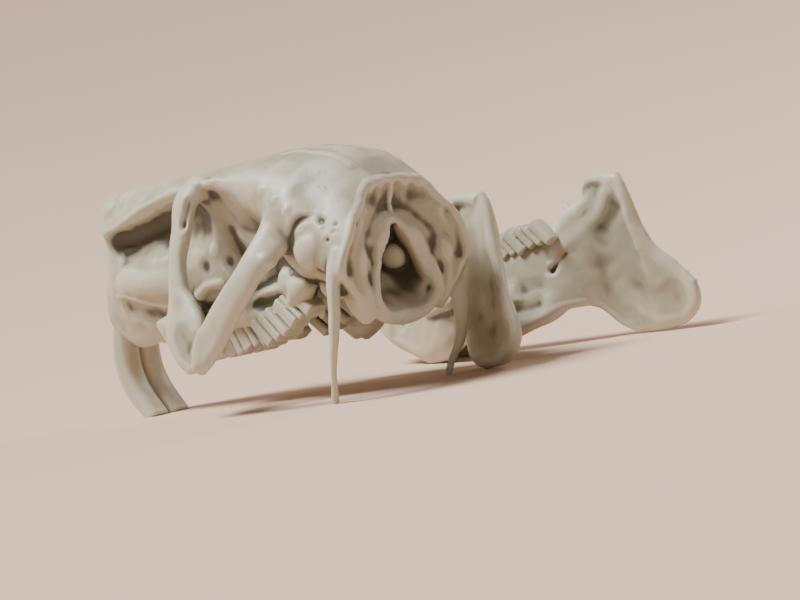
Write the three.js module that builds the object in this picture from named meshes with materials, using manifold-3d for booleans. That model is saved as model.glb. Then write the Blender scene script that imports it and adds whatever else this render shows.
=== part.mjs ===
// Capybara skull, life size: the cranium with its lower jaw lying beside it.
// Both are modelled nose towards +X and left side towards +Y, in millimetres.
// The whole is then turned about so that the noses point towards -X.
import * as THREE from 'three';
import { mergeVertices } from 'three/addons/utils/BufferGeometryUtils.js';
import Module from 'manifold-3d';

const wasm = await Module();
wasm.setup();
const { Manifold, Mesh: SolidMesh } = wasm;

// Driving dimensions in millimetres
const CUT = 0.3;
const FAR = 400;
const ROSTRUM_X = 124;
const ARCH_X = 50;
const ARCH_Y = 39;
const PALATE_Z = 50;
const PALATE_X = 54;
const PALATE_FRONT_X = 163;
const STEM_X = 44;
const STEM_Y = 23.4;
const PAROCCIPITAL_Z = 55.3;
const TOOTH_WIDTH = 12.5;
const TOOTH_THICKNESS = 5.4;
const UPPER_TEETH = 15;
const LOWER_TEETH = 12;
const JAW_AT = { x: 13, y: -112 };
const JAW_TURN = THREE.MathUtils.degToRad(-15.5);

const vector = (x, y, z) => new THREE.Vector3(x, y, z);

// Turns a closed geometry into a solid, with its faces pointing out
function toSolid(geometry) {
  geometry.deleteAttribute('normal');
  geometry.deleteAttribute('uv');
  const merged = mergeVertices(geometry, 1e-4);
  const vertProperties = new Float32Array(merged.attributes.position.array);
  const triVerts = new Uint32Array(merged.index.array);
  if (signedVolume(vertProperties, triVerts) < 0) {
    for (let i = 0; i < triVerts.length; i += 3) {
      const first = triVerts[i];
      triVerts[i] = triVerts[i + 1];
      triVerts[i + 1] = first;
    }
  }
  const mesh = new SolidMesh({ numProp: 3, vertProperties, triVerts });
  mesh.merge();
  return new Manifold(mesh);
}

function signedVolume(positions, triangles) {
  const corner = (i) => new THREE.Vector3().fromArray(positions, triangles[i] * 3);
  let volume = 0;
  for (let i = 0; i < triangles.length; i += 3) {
    volume += corner(i).dot(corner(i + 1).cross(corner(i + 2))) / 6;
  }
  return volume;
}

function toGeometry(solid) {
  const mesh = solid.getMesh();
  const geometry = new THREE.BufferGeometry();
  const positions = new Float32Array((mesh.vertProperties.length / mesh.numProp) * 3);
  for (let i = 0; i < positions.length / 3; i += 1) {
    for (let axis = 0; axis < 3; axis += 1) {
      positions[i * 3 + axis] = mesh.vertProperties[i * mesh.numProp + axis];
    }
  }
  geometry.setAttribute('position', new THREE.BufferAttribute(positions, 3));
  geometry.setIndex(new THREE.BufferAttribute(new Uint32Array(mesh.triVerts), 1));
  return geometry;
}

const join = (solids) => solids.reduce((whole, piece) => whole.add(piece));
const cut = (solid, cutters) => cutters.reduce((rest, piece) => rest.subtract(piece), solid);
const mirror = (solid) => toSolid(toGeometry(solid).scale(1, -1, 1));

// Keeps the largest closed surface of a solid
function largest(solid) {
  return solid.decompose().sort((a, b) => b.volume() - a.volume())[0];
}

// A closed skin over rings of points, with a flat fan on each end
function skin(rings) {
  const count = rings[0].length;
  const positions = [];
  const triangles = [];
  for (const ring of rings) {
    for (const point of ring) positions.push(point.x, point.y, point.z);
  }
  for (let r = 0; r < rings.length - 1; r += 1) {
    for (let i = 0; i < count; i += 1) {
      const a = r * count + i;
      const b = r * count + ((i + 1) % count);
      triangles.push(a, b, a + count, b, b + count, a + count);
    }
  }
  for (const r of [0, rings.length - 1]) {
    const centre = rings[r].reduce((sum, point) => sum.add(point), vector(0, 0, 0));
    centre.divideScalar(count);
    positions.push(centre.x, centre.y, centre.z);
    const tip = positions.length / 3 - 1;
    for (let i = 0; i < count; i += 1) {
      const a = r * count + i;
      const b = r * count + ((i + 1) % count);
      if (r === 0) triangles.push(b, a, tip);
      else triangles.push(a, b, tip);
    }
  }
  const geometry = new THREE.BufferGeometry();
  geometry.setAttribute('position', new THREE.BufferAttribute(new Float32Array(positions), 3));
  geometry.setIndex(triangles);
  return toSolid(geometry);
}

// A smooth body over stations, each a list of the same number of points
function body(stations, around, along) {
  const lines = stations[0].map((point, j) => new THREE.CatmullRomCurve3(
    stations.map((station) => station[j]), false, 'centripetal',
  ));
  const rings = [];
  for (let r = 0; r <= along; r += 1) {
    const corners = lines.map((line) => line.getPoint(r / along));
    const outline = new THREE.CatmullRomCurve3(corners, true, 'centripetal');
    const ring = [];
    for (let i = 0; i < around; i += 1) ring.push(outline.getPoint(i / around));
    rings.push(ring);
  }
  return skin(rings);
}

// One cross-section of a body that is alike on both sides: x, then [y, z, forward shift]
function twoSided(x, half) {
  const left = half.map(([y, z, shift = 0]) => vector(x + shift, y, z));
  const right = half.slice(1, -1).reverse().map(([y, z, shift = 0]) => vector(x + shift, -y, z));
  return [...left, ...right];
}

// One cross-section of a leaning plate: top and bottom points, and half the thickness at each
function plateSection([x, topY, topZ, bottomY, bottomZ, topHalf, bottomHalf]) {
  const middleY = (topY + bottomY) / 2;
  const middleZ = (topZ + bottomZ) / 2;
  const middleHalf = (topHalf + bottomHalf) / 2 + 0.6;
  return [
    vector(x, topY, topZ),
    vector(x, topY + topHalf, topZ - topHalf),
    vector(x, middleY + middleHalf, middleZ),
    vector(x, bottomY + bottomHalf, bottomZ + bottomHalf),
    vector(x, bottomY, bottomZ),
    vector(x, bottomY - bottomHalf, bottomZ + bottomHalf),
    vector(x, middleY - middleHalf, middleZ),
    vector(x, topY - topHalf, topZ - topHalf),
  ];
}

// A limb along a path of [x, y, z, half width, half thickness], wide along one direction
function limb(path, wideWay, around = 12, along = 10, squareness = 2) {
  const centres = new THREE.CatmullRomCurve3(
    path.map(([x, y, z]) => vector(x, y, z)), false, 'centripetal',
  );
  const halves = new THREE.CatmullRomCurve3(
    path.map((node, i) => vector(node[3], node[4], i)), false, 'centripetal',
  );
  const wide = vector(...wideWay).normalize();
  const rounded = (value) => Math.sign(value) * Math.abs(value) ** (2 / squareness);
  const rings = [];
  for (let r = 0; r <= along; r += 1) {
    const t = r / along;
    const centre = centres.getPoint(t);
    const half = halves.getPoint(t);
    const way = centres.getTangent(t);
    const side = wide.clone().addScaledVector(way, -wide.dot(way)).normalize();
    const thin = way.clone().cross(side);
    const ring = [];
    for (let i = 0; i < around; i += 1) {
      const angle = ((i + 0.5) / around) * 2 * Math.PI;
      ring.push(centre.clone()
        .addScaledVector(side, half.x * rounded(Math.cos(angle)))
        .addScaledVector(thin, half.y * rounded(Math.sin(angle))));
    }
    rings.push(ring);
  }
  return skin(rings);
}

function ellipsoid(centre, radii, lean = 0, segments = 16) {
  const geometry = new THREE.SphereGeometry(1, segments, segments * 0.75);
  geometry.scale(...radii);
  geometry.rotateY(THREE.MathUtils.degToRad(lean));
  geometry.translate(...centre);
  return toSolid(geometry);
}

// A box between two corners
function block(low, high) {
  const geometry = new THREE.BoxGeometry(high[0] - low[0], high[1] - low[1], high[2] - low[2]);
  geometry.translate((low[0] + high[0]) / 2, (low[1] + high[1]) / 2, (low[2] + high[2]) / 2);
  return toSolid(geometry);
}

const belowFloor = block([-FAR, -FAR, -60], [FAR, FAR, 0]);

// Skull vault, face and snout as one body, from the back of the head to the nose
function cranialBody() {
  const stations = [
    twoSided(14, [
      [0, 90, 4], [9, 88, 3], [18, 81, 1], [26, 73], [31, 64], [28, 55, 2], [18, 46, 5], [0, 42, 7],
    ]),
    twoSided(8, [
      [0, 101, 5], [18, 100, 4], [30, 89, 2], [39, 80], [44, 72, 1], [48, 62, 3], [31, 43, 5], [0, 34, 9],
    ]),
    twoSided(14, [
      [0, 108, 4], [18, 106, 3], [32, 95, 1], [41, 84], [45.5, 74], [47, 62, 2], [31, 43, 4], [0, 33, 8],
    ]),
    twoSided(27, [[0, 118], [20, 114], [33, 102], [42, 90], [45.5, 78], [42, 64], [27, 49], [0, 42]]),
    twoSided(43, [[0, 124], [21, 119], [36, 108], [46, 96], [47, 82], [40, 67], [25, 57], [0, 54]]),
    twoSided(55, [[0, 126], [21, 121], [37, 111], [44, 99], [44, 83], [35, 68], [22, 58], [0, 56]]),
    twoSided(66, [[0, 127], [21, 122], [37, 113], [39, 102], [36, 88], [26, 72], [19, 60], [0, 57]]),
    twoSided(82, [[0, 127], [20, 123], [37, 115], [35, 104], [26, 92], [23, 74], [18, 60], [0, 55]]),
    twoSided(98, [[0, 127], [18, 123], [37, 115], [30, 104], [23, 88], [22, 68], [18, 55], [0, 51]]),
    twoSided(118, [[0, 126], [17, 122], [34, 113], [26, 101], [24, 82], [23, 64], [18, 54], [0, 49]]),
    twoSided(148, [[0, 126], [15, 122], [25, 112], [17, 99], [25, 78], [20, 59], [12, 51], [0, 49]]),
    twoSided(177, [[0, 127], [14, 123], [22.5, 109], [15.5, 97], [24, 74], [18, 54], [12, 46], [0, 46]]),
    twoSided(203, [
      [0, 126], [13, 122], [20, 107], [15.2, 96], [21, 72], [17, 50, 2], [11.5, 38, 2], [0, 40, 2],
    ]),
    twoSided(216, [
      [0, 124], [11, 119], [17, 106], [16, 97], [18, 72, 3], [16, 57, 8], [11, 48, 7], [0, 48, 5],
    ]),
  ];
  const noseBump = ellipsoid([205, 0, 115], [19, 17.5, 11], 0, 14);
  return body(stations, 28, 26).add(noseBump);
}

// Nose opening, running back into the snout and open to the front
function nasalPassage() {
  return limb([
    [226, 0, 84, 18, 12], [212, 0, 84, 17, 12.5], [196, 0, 86, 15, 12], [165, 0, 88, 12, 11],
    [138, 0, 88, 10, 10],
  ], [0, 0, 1], 12, 6);
}

// Hollow for the brain, reached through the large opening at the back, which is narrow at its top
function brainHollow() {
  const chamber = ellipsoid([58, 0, 88], [38, 24, 27], 0, 12);
  const doorway = body([
    twoSided(-14, [[0, 84], [9, 76], [15, 67], [21, 58], [23, 49], [20, 40], [11, 33], [0, 31]]),
    twoSided(13, [[0, 81], [6, 75], [12, 66], [16, 58], [19.5, 50], [18, 43], [10, 36], [0, 34.5]]),
    twoSided(26, [[0, 83], [7, 78], [13, 71], [17, 63], [18, 54], [14, 47], [7, 44], [0, 43.5]]),
    twoSided(44, [[0, 100], [12, 96], [19, 86], [21, 77], [19, 68], [14, 62], [6, 60], [0, 59.5]]),
    twoSided(56, [[0, 104], [12, 100], [19, 91], [21, 82], [19, 74], [13, 68], [6, 66], [0, 65]]),
  ], 18, 8);
  return chamber.add(doorway);
}

// Forms on the left of the skull's back: joint knuckle, the column beside it and the ear capsule
function leftOfBack() {
  const knuckle = limb([
    [15, 4, 84, 3, 2], [14, 10.5, 77, 4, 3], [13.5, 15.5, 69, 5, 4.2], [13.5, 19, 61, 5, 4.4],
    [13, 22.5, 53, 5, 3.6], [13.5, 22, 44, 4.6, 3.4], [15.5, 15, 36.5, 4.6, 3.2], [18, 5, 33, 4.4, 3],
    [18.5, -1, 32.5, 4.4, 3],
  ], [1, 0, 0], 8, 10);
  const column = limb([
    [17, 26, 85, 5, 4], [17, 30, 76, 7, 5], [18, 33, 66, 8, 6], [18.5, 33, 56, 8, 6.5],
    [19, 29, 46, 7.5, 6.5], [20, 23, 38, 6, 5],
  ], [0, 1, 0], 10, 7);
  const earCapsule = ellipsoid([32, 38, 72], [13, 10, 10.5], 0, 10);
  return join([knuckle, column, earCapsule]);
}

// Hanging process behind the ear, a thin blade that reaches the floor
function leftParoccipital() {
  return limb([
    [16, 42, 72, 6, 4], [19, 44, 61, 7.6, 4], [20.4, 45.5, 51, 7, 3.2], [21.5, 46.5, 41, 5.6, 2.8],
    [23, 47.4, 32, 4.6, 2.6], [24.8, 47.9, 24, 3.8, 2.3], [27.4, 47.2, 16, 3.2, 2.1], [31.4, 44.2, 8, 2.7, 2],
    [33.7, 42.7, 2.2, 2.5, 2.1], [34.6, 42.1, -1.6, 2.3, 2],
  ], [-0.66, 0.75, 0], 10, 15);
}

// Cheek arch: the bar before the eye, the plate under it and the bow running back
function leftArch() {
  const bar = limb([
    [114, 28, 118, 11, 7], [118.5, 37, 111, 8, 5], [119.5, 43, 96, 7, 4.2], [120, 49, 80, 4.8, 3.8],
    [119.5, 52.5, 66, 5, 3.8], [117.5, 55.5, 55, 9.5, 4], [114, 58.5, 44, 14, 4], [108, 60.5, 32, 12, 3.8],
    [105.5, 61.3, 22.5, 6, 3.2],
  ], [1, 0, 0], 12, 14, 2.4);
  const spike = limb([
    [119, 57, 45, 11, 3.6], [127, 55.5, 48.5, 7, 3.2], [138.5, 53.5, 51, 1.6, 1.6],
  ], [0, 0, 1], 8, 4);
  const bow = limb([
    [107, 60.5, 25, 6.5, 3.4], [97, 61.8, 32, 10, 4.2], [85, 62, 42, 11, 4.4], [75, 61, 52, 10.5, 4.4],
    [65.5, 59.5, 60.5, 9, 4.6], [58.5, 57, 68, 8, 5], [53, 52, 75, 9, 5.4], [48, 46, 80, 10, 6],
    [43, 40, 83, 10, 5],
  ], [0.69, 0, 0.72], 12, 13, 2.4);
  const lowerRoot = limb([
    [150, 14, 52, 8, 7], [141, 26, 49, 7, 5], [132, 40, 48, 6.5, 4.2], [124, 52, 46, 7, 4],
  ], [0, 0, 1], 10, 5);
  return join([bar, spike, bow, lowerRoot]);
}

// Bone that holds the left row of upper cheek teeth, with the wing behind the palate
function leftPalate() {
  const socketBone = limb([
    [166, 7, 50, 7, 6], [150, 9, 47, 9, 8], [120, 14, 47, 10, 10], [92, 18, 48, 11, 10],
    [70, 23, 52, 10, 9], [58, 26, 55, 9, 8],
  ], [0, 0, 1], 10, 8);
  const wing = limb([
    [72, 15, 56, 9, 2.6], [64, 15.5, 52, 7, 2.2], [60, 16, 46, 4, 1.9], [58.5, 16.3, 40, 1.8, 1.5],
  ], [1, 0, 0], 8, 5);
  return socketBone.add(wing);
}

// One row of plate-like teeth: places are given by a curve, a lean back and a crown height
function toothRow(count, at, lean, width, height, thickness) {
  const plates = [];
  for (let i = 0; i < count; i += 1) {
    const t = i / (count - 1);
    const place = at.getPoint(t);
    const way = at.getTangent(t);
    const plate = new THREE.BoxGeometry(thickness, width(t, i), height, 1, 1, 1);
    plate.rotateY(lean(t));
    plate.rotateZ(Math.atan2(way.y, way.x));
    plate.translate(place.x, place.y, place.z);
    plates.push(toSolid(plate));
  }
  return plates;
}

function leftUpperTeeth() {
  const line = new THREE.CatmullRomCurve3([
    vector(58, 24, 54), vector(76, 20.5, 47), vector(104, 13.5, 39.5), vector(130, 9.5, 37.5),
    vector(152, 8, 37),
  ]);
  const width = (t, i) => TOOTH_WIDTH - 1.5 * t + (i % 2 ? 0.7 : -0.5);
  const lean = (t) => THREE.MathUtils.degToRad(46 - 30 * t);
  return toothRow(UPPER_TEETH, line, lean, width, 26, TOOTH_THICKNESS);
}

// The same path with more room around it, for the socket that a tooth sits in
function widened(path, room) {
  return path.map(([x, y, z, wide, thin]) => [x, y, z, wide + room, thin + room]);
}

// Upper front tooth of the left side, a curved bar with a worn chisel end
function leftUpperIncisor(room = 0) {
  const middle = 7.6;
  const path = [
    [198 - room, middle, 71, 6.6, 5], [211, middle, 64, 6.6, 5.8], [219, middle, 53, 6.6, 6.2],
    [222.8, middle, 42, 6.6, 6.4], [223.6, middle, 31, 6.6, 6.4], [221.8, middle, 22, 6.6, 6.3],
    [217.6, middle, 13.5, 6.6, 6], [211.5, middle, 6, 6.6, 5.2], [204.5, middle, -1, 6.4, 3.8],
  ];
  return limb(widened(path, room), [0, 1, 0], 14, 13, 3.2);
}

// Left half of the lower jaw, from the rear corner to the chin
function leftJawBone() {
  const seam = CUT / 2;
  const plate = body([
    [-47, 60, 21, 60, 14, 1.4, 1.4],
    [-43, 59, 29, 60, 8, 2.2, 2.6],
    [-36, 56, 38, 59.5, 3.5, 2.4, 3.2],
    [-28, 51, 48, 58, 0.6, 2.6, 3.6],
    [-22.5, 47, 62, 57, -0.8, 2.8, 3.8],
    [-19.5, 45, 79, 56.5, -0.8, 2.8, 3.8],
    [-14, 45.5, 89, 56, -0.8, 3.4, 3.8],
    [-2, 45.5, 89, 54.5, -0.6, 3.6, 3.8],
    [7, 44, 84, 51, 6, 3.2, 3.6],
    [14, 42.5, 79, 43, 17, 3, 3.4],
    [25, 39.5, 75, 33, 19.5, 4, 4.2],
    [36, 33, 63, 27, 13.5, 7, 5.4],
    [52, 27, 62, 23, 10, 7.5, 6.5],
    [70, 21.5, 57, 19.5, 5, 7.8, 7.2],
    [90, 15.5, 54, 15, 0, 7.6, 8],
    [106, 10.5, 50, 11.5, -0.8, 7, 8],
    [124, 8.4, 46, 9, 4, 6.6, 7.4],
    [146, 7.4, 45, 7.6, 11, 6.2, 6.6],
    [162, 7, 48, 7, 22, 5.6, 5.6],
  ].map(plateSection), 14, 34);
  const head = ellipsoid([-4, 46, 86], [14, 5.4, 5], -4, 10);
  const hook = limb([
    [-2, 46, 87, 4.6, 4], [6, 45.4, 87.4, 4.2, 3.6], [11, 44.6, 84.5, 3.4, 3], [13.5, 44, 80, 2, 2],
  ], [0, 1, 0], 10, 5);
  const beak = limb([
    [25, 40.5, 66, 7, 2.8], [26.5, 41, 74, 3.6, 2], [27.5, 41, 78, 1.6, 1.2],
  ], [1, 0, 0], 8, 3);
  const chewingCrest = limb([
    [18, 43, 40, 3, 3], [36, 38, 36, 4, 4.5], [60, 30, 33, 4, 5], [84, 23, 30, 3, 4],
  ], [0, 0, 1], 8, 5);
  const halfSpace = block([-FAR, seam, -60], [FAR, FAR, 200]);
  return join([plate, head, hook, beak, chewingCrest]).intersect(halfSpace);
}

function leftLowerTeeth() {
  const line = new THREE.CatmullRomCurve3([
    vector(28, 29.5, 64), vector(48, 24, 60), vector(74, 17.5, 55), vector(101, 11.5, 52),
  ]);
  const width = (t, i) => TOOTH_WIDTH - 0.8 - 1.5 * t + (i % 2 ? 0.6 : -0.6);
  const lean = (t) => THREE.MathUtils.degToRad(24 - 12 * t);
  return toothRow(LOWER_TEETH, line, lean, width, 27, TOOTH_THICKNESS);
}

function leftLowerIncisor(room = 0) {
  const middle = 6.3;
  const path = [
    [138 - room, middle, 27, 5.2, 5], [154, middle, 32, 5.4, 5.2], [168, middle, 38, 5.4, 5.2],
    [178, middle, 45, 5.3, 4.6], [185, middle, 52, 5.1, 2.2],
  ];
  return limb(widened(path, room), [0, 1, 0], 12, 9, 3);
}

// Cuts one solid in two along a box, leaving the thin gap between them
function divide(solid, low, high) {
  const grow = (corner, sign) => corner.map((value) => (
    Math.abs(value) >= FAR ? value : value + sign * CUT
  ));
  return {
    inside: solid.intersect(block(low, high)),
    outside: solid.subtract(block(grow(low, -1), grow(high, 1))),
  };
}

function cranium() {
  const leftSide = join([leftOfBack(), leftParoccipital(), leftArch(), leftPalate()]);
  const leftTeeth = join(leftUpperTeeth());
  const incisor = leftUpperIncisor();
  const socket = leftUpperIncisor(CUT);
  const bone = join([cranialBody(), leftSide, mirror(leftSide)]);
  const hollows = [nasalPassage(), brainHollow()];
  const carved = cut(bone, [...hollows, socket, mirror(socket), belowFloor]);
  const left = divide(carved, [ARCH_X, ARCH_Y, -FAR], [FAR, FAR, FAR]);
  const right = divide(left.outside, [ARCH_X, -FAR, -FAR], [FAR, -ARCH_Y, FAR]);
  const leftStem = divide(right.outside, [-FAR, STEM_Y, -FAR], [STEM_X, FAR, PAROCCIPITAL_Z]);
  const rightStem = divide(leftStem.outside, [-FAR, -FAR, -FAR], [STEM_X, -STEM_Y, PAROCCIPITAL_Z]);
  const palate = divide(rightStem.outside, [PALATE_X, -FAR, -FAR], [PALATE_FRONT_X, FAR, PALATE_Z]);
  const snout = divide(palate.outside, [ROSTRUM_X, -FAR, -FAR], [FAR, FAR, FAR]);
  const teeth = leftTeeth.add(mirror(leftTeeth)).intersect(block([-FAR, -FAR, -FAR], [FAR, FAR, PALATE_Z]));
  return {
    zygomatic_left: left.inside,
    zygomatic_right: right.inside,
    paroccipital_left: leftStem.inside,
    paroccipital_right: rightStem.inside,
    palate_and_cheek_teeth: palate.inside.add(teeth),
    snout: snout.inside,
    braincase: snout.outside,
    upper_incisor_left: incisor.subtract(belowFloor),
    upper_incisor_right: mirror(incisor).subtract(belowFloor),
  };
}

function lowerJaw() {
  const incisor = leftLowerIncisor();
  const bone = cut(leftJawBone(), [leftLowerIncisor(CUT), belowFloor]);
  const side = bone.add(join(leftLowerTeeth()).subtract(block([-FAR, -FAR, -FAR], [FAR, FAR, 46])));
  return {
    jaw_left: side,
    jaw_right: mirror(side),
    lower_incisor_left: incisor,
    lower_incisor_right: mirror(incisor),
  };
}

const bone = { color: 0xd8d1b8, roughness: 0.62, metalness: 0 };
const enamel = { color: 0xdcd5bd, roughness: 0.5, metalness: 0 };

function addNodes(group, solids) {
  for (const [name, solid] of Object.entries(solids)) {
    const finish = name.includes('incisor') ? enamel : bone;
    const mesh = new THREE.Mesh(toGeometry(largest(solid)), new THREE.MeshStandardMaterial(finish));
    mesh.name = name;
    group.add(mesh);
  }
}

const skull = new THREE.Group();
skull.rotation.z = Math.PI;

const head = new THREE.Group();
addNodes(head, cranium());
skull.add(head);

const jaw = new THREE.Group();
jaw.position.set(JAW_AT.x, JAW_AT.y, 0);
jaw.rotation.z = JAW_TURN;
addNodes(jaw, lowerJaw());
skull.add(jaw);

// The origin goes to the middle of the skull's footprint, on the surface that it stands on
const footprint = new THREE.Box3().setFromObject(skull, true).getCenter(vector(0, 0, 0));
skull.position.set(-footprint.x, -footprint.y, 0);

export default skull;
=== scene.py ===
import math

import bpy
import numpy as np
from mathutils import Matrix, Vector


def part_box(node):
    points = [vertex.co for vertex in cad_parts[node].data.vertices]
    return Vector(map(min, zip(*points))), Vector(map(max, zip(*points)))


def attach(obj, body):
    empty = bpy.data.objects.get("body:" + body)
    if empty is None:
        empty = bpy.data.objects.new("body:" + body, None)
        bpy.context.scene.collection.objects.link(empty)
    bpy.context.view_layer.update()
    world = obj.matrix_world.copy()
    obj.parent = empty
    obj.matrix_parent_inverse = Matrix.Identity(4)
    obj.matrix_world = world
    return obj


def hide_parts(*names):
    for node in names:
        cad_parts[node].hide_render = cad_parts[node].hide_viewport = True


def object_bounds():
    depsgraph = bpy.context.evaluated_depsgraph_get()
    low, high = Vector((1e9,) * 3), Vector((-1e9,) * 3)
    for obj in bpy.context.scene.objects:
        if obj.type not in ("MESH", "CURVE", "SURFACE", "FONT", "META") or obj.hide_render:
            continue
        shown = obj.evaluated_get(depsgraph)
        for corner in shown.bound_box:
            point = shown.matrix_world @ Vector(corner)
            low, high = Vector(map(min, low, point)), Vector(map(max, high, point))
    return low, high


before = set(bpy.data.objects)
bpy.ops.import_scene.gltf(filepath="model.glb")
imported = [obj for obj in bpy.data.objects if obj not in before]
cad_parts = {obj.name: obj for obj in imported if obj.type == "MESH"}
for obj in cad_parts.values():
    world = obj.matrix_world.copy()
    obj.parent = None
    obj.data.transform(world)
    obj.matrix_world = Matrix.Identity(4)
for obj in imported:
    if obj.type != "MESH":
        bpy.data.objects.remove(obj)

bl_info = {
    "name": "Capybara Skull",
    "version": (1, 0, 0),
    "blender": (4, 5, 0),
    "location": "View3D > Sidebar > Skull",
    "description": "Models a capybara skull with its lower jaw, bone by bone",
    "category": "Object",
}

CAD_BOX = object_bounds()

# Places are in millimetres with the nose towards +x and the left side towards +y.
# The cranium starts at the back of the head, the jaw at its joint knuckles.
SNOUT_CUT_X = 124
ARCH_CUT_Y = 39
JAW_X = 13
JAW_Y = -112
JAW_TURN = math.radians(-15.5)
ORIGIN_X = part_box("snout")[1].x * 1000 + SNOUT_CUT_X
ORIGIN_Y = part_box("zygomatic_left")[1].y * 1000 + ARCH_CUT_Y
# Thickness of each plate of the cheek teeth, as shares of their row, from the rear
REAR_PLATES = (9, 4, 10, 7, 7, 7.5)
FRONT_PLATES = (8, 5, 8.5, 5, 8, 5, 8)
LOWER_PLATES = (7, 4, 6, 8, 4, 6, 7.5, 4, 6, 7, 4, 6)
# Distance from the box's sides, in metres, within which the surface is eased inwards
EASE = 0.0012

# Points around and along each large body, and along each front tooth
HEAD_MESH = (112, 150)
JAW_MESH = (56, 170)
SPINE_HOLE_MESH = (64, 40)
INCISOR_MESH = (48, 60)
# Cells that fuse the teeth, in millimetres, which are finer than the bone's
CHEEK_TOOTH_VOXEL = 0.6
INCISOR_VOXEL = 0.7
# Points closer than this, in metres, are one
MERGE_WITHIN = 1e-6
# How far a point moves towards its neighbours in one round of smoothing
SMOOTH_SHARE = 0.5
# Wave lengths and heights of the surface's unevenness, in millimetres
UNEVEN_WAVES = ((38, 0.26), (17, 0.15), (8, 0.07))
WAVES_OF_EACH = 6
CRANIUM_SEED = 5
JAW_SEED = 11
# Rounds of blurring that show small, middle and large hollows, and how much each counts; the material paints
# shade into the hollows and highlight onto the crests from them
HOLLOW_ROUNDS = ((6, 1.2), (30, 0.55), (90, 0.42))
HOLLOW_BLUR = 0.6

# The photograph's camera: its place beside the cranium in millimetres, its lens in pixels
# and its axes in the frame
IMAGE_WIDTH = 800
SENSOR_WIDTH = 36
FOCAL_PIXELS = 1701.4
CAMERA_AT = (-528.9, 618.7, 60.0)
CAMERA_RIGHT = (0.739105, 0.651821, -0.169866)
CAMERA_UP = (0.113449, 0.128117, 0.985249)
NEAREST_SEEN = 0.05
FARTHEST_SEEN = 200

# The floor runs towards the camera and, behind the skull, bends up into a backdrop; metres
FLOOR_WIDTH = 40
FLOOR_LENGTH = 30
FLOOR_BEFORE = 20
BEND_AT = 0.45
BEND_RADIUS = 1.6
FLOOR_COLOUR = (0.66, 0.485, 0.375, 1)
# The world lights the skull weakly, and looks as pale as the floor where it shows beyond it
WORLD_COLOUR = (0.97, 0.88, 0.81, 1)
WORLD_LIGHT = 0.13
WORLD_SEEN = 0.62
# The lights stand in metres and point at the middle of the skull
LIT_POINT = Vector((0, 0, 0.06))
KEY_AT = Vector((-0.75, -0.8, 1.75))
KEY_ANGLE = math.radians(24)
KEY_POWER = 6.1
# Name, place, size in metres and power in watts of the softer lights
SOFT_LIGHTS = (
    ("fill_light", Vector((1.3, -0.5, 0.5)), 1.0, 1.4),
    ("rim_light", Vector((0.5, 1.2, 0.9)), 0.6, 6),
)


def to_row(points, of_jaw=False):
    """Points of the cranium or the jaw, in millimetres, as places in the frame, in metres."""
    points = np.asarray(points, float).reshape(-1, 3)
    x, y, z = points.T
    if of_jaw:
        c, s = math.cos(JAW_TURN), math.sin(JAW_TURN)
        x, y = x * c - y * s + JAW_X, x * s + y * c + JAW_Y
    return np.stack([ORIGIN_X - x, ORIGIN_Y - y, z], 1) / 1000


def from_row(places, of_jaw=False):
    """The inverse of to_row."""
    x, y, z = (np.asarray(places, float).reshape(-1, 3) * 1000).T
    x, y = ORIGIN_X - x, ORIGIN_Y - y
    if of_jaw:
        c, s = math.cos(JAW_TURN), math.sin(JAW_TURN)
        x, y = x - JAW_X, y - JAW_Y
        x, y = x * c + y * s, y * c - x * s
    return np.stack([x, y, z], 1)


def along_spline(points, count, closed=False):
    """Evenly spaced samples of a centripetal spline through points of any dimension."""
    points = np.asarray(points, float)
    if closed:
        ring = np.concatenate([points[-1:], points, points[:2]])
        last = len(points)
        steps = np.arange(count) / count * last
    else:
        before = 2 * points[:1] - points[1:2]
        after = 2 * points[-1:] - points[-2:-1]
        ring = np.concatenate([before, points, after])
        last = len(points) - 1
        steps = np.linspace(0, last, count + 1)
    spans = np.minimum(steps.astype(int), last - 1)
    t = (steps - spans)[:, None]
    p0, p1, p2, p3 = (ring[spans + i] for i in range(4))

    def gap(a, b):
        return np.maximum(np.sqrt(np.linalg.norm(b - a, axis=1)), 1e-4)[:, None]

    d0, d1, d2 = gap(p0, p1), gap(p1, p2), gap(p2, p3)
    leave = ((p1 - p0) / d0 - (p2 - p0) / (d0 + d1) + (p2 - p1) / d1) * d1
    arrive = ((p2 - p1) / d1 - (p3 - p1) / (d1 + d2) + (p3 - p2) / d2) * d1
    square = 3 * (p2 - p1) - 2 * leave - arrive
    cube = 2 * (p1 - p2) + leave + arrive
    return p1 + leave * t + square * t**2 + cube * t**3


def body_rings(stations, around, along):
    """Rings of a smooth body over stations that hold the same number of points each."""
    stations = np.asarray(stations, float)
    lines = np.stack([along_spline(stations[:, j], along) for j in range(stations.shape[1])], 1)
    return np.stack([along_spline(corners, around, closed=True) for corners in lines])


def limb_rings(path, wide, around=24, along=30, squareness=2.0):
    """Rings of a limb along a path of x, y, z, half width and half thickness."""
    path = np.asarray(path, float)
    centres = along_spline(path[:, :3], along)
    marked = np.concatenate([path[:, 3:5], np.arange(len(path))[:, None]], 1)
    halves = along_spline(marked, along)[:, :2]
    ways = np.gradient(centres, axis=0)
    ways /= np.linalg.norm(ways, axis=1)[:, None]
    wide = np.asarray(wide, float) / np.linalg.norm(wide)
    sides = wide - ways * (ways @ wide)[:, None]
    sides /= np.linalg.norm(sides, axis=1)[:, None]
    thins = np.cross(ways, sides)
    angles = (np.arange(around) + 0.5) / around * 2 * math.pi

    def rounded(value):
        return np.sign(value) * np.abs(value) ** (2 / squareness)

    across = rounded(np.cos(angles))[None, :, None] * halves[:, :1, None] * sides[:, None]
    upward = rounded(np.sin(angles))[None, :, None] * halves[:, 1:, None] * thins[:, None]
    return centres[:, None] + across + upward


def clear_selection():
    if bpy.context.object and bpy.context.object.mode != "OBJECT":
        bpy.ops.object.mode_set(mode="OBJECT")
    bpy.ops.object.select_all(action="DESELECT")


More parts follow.
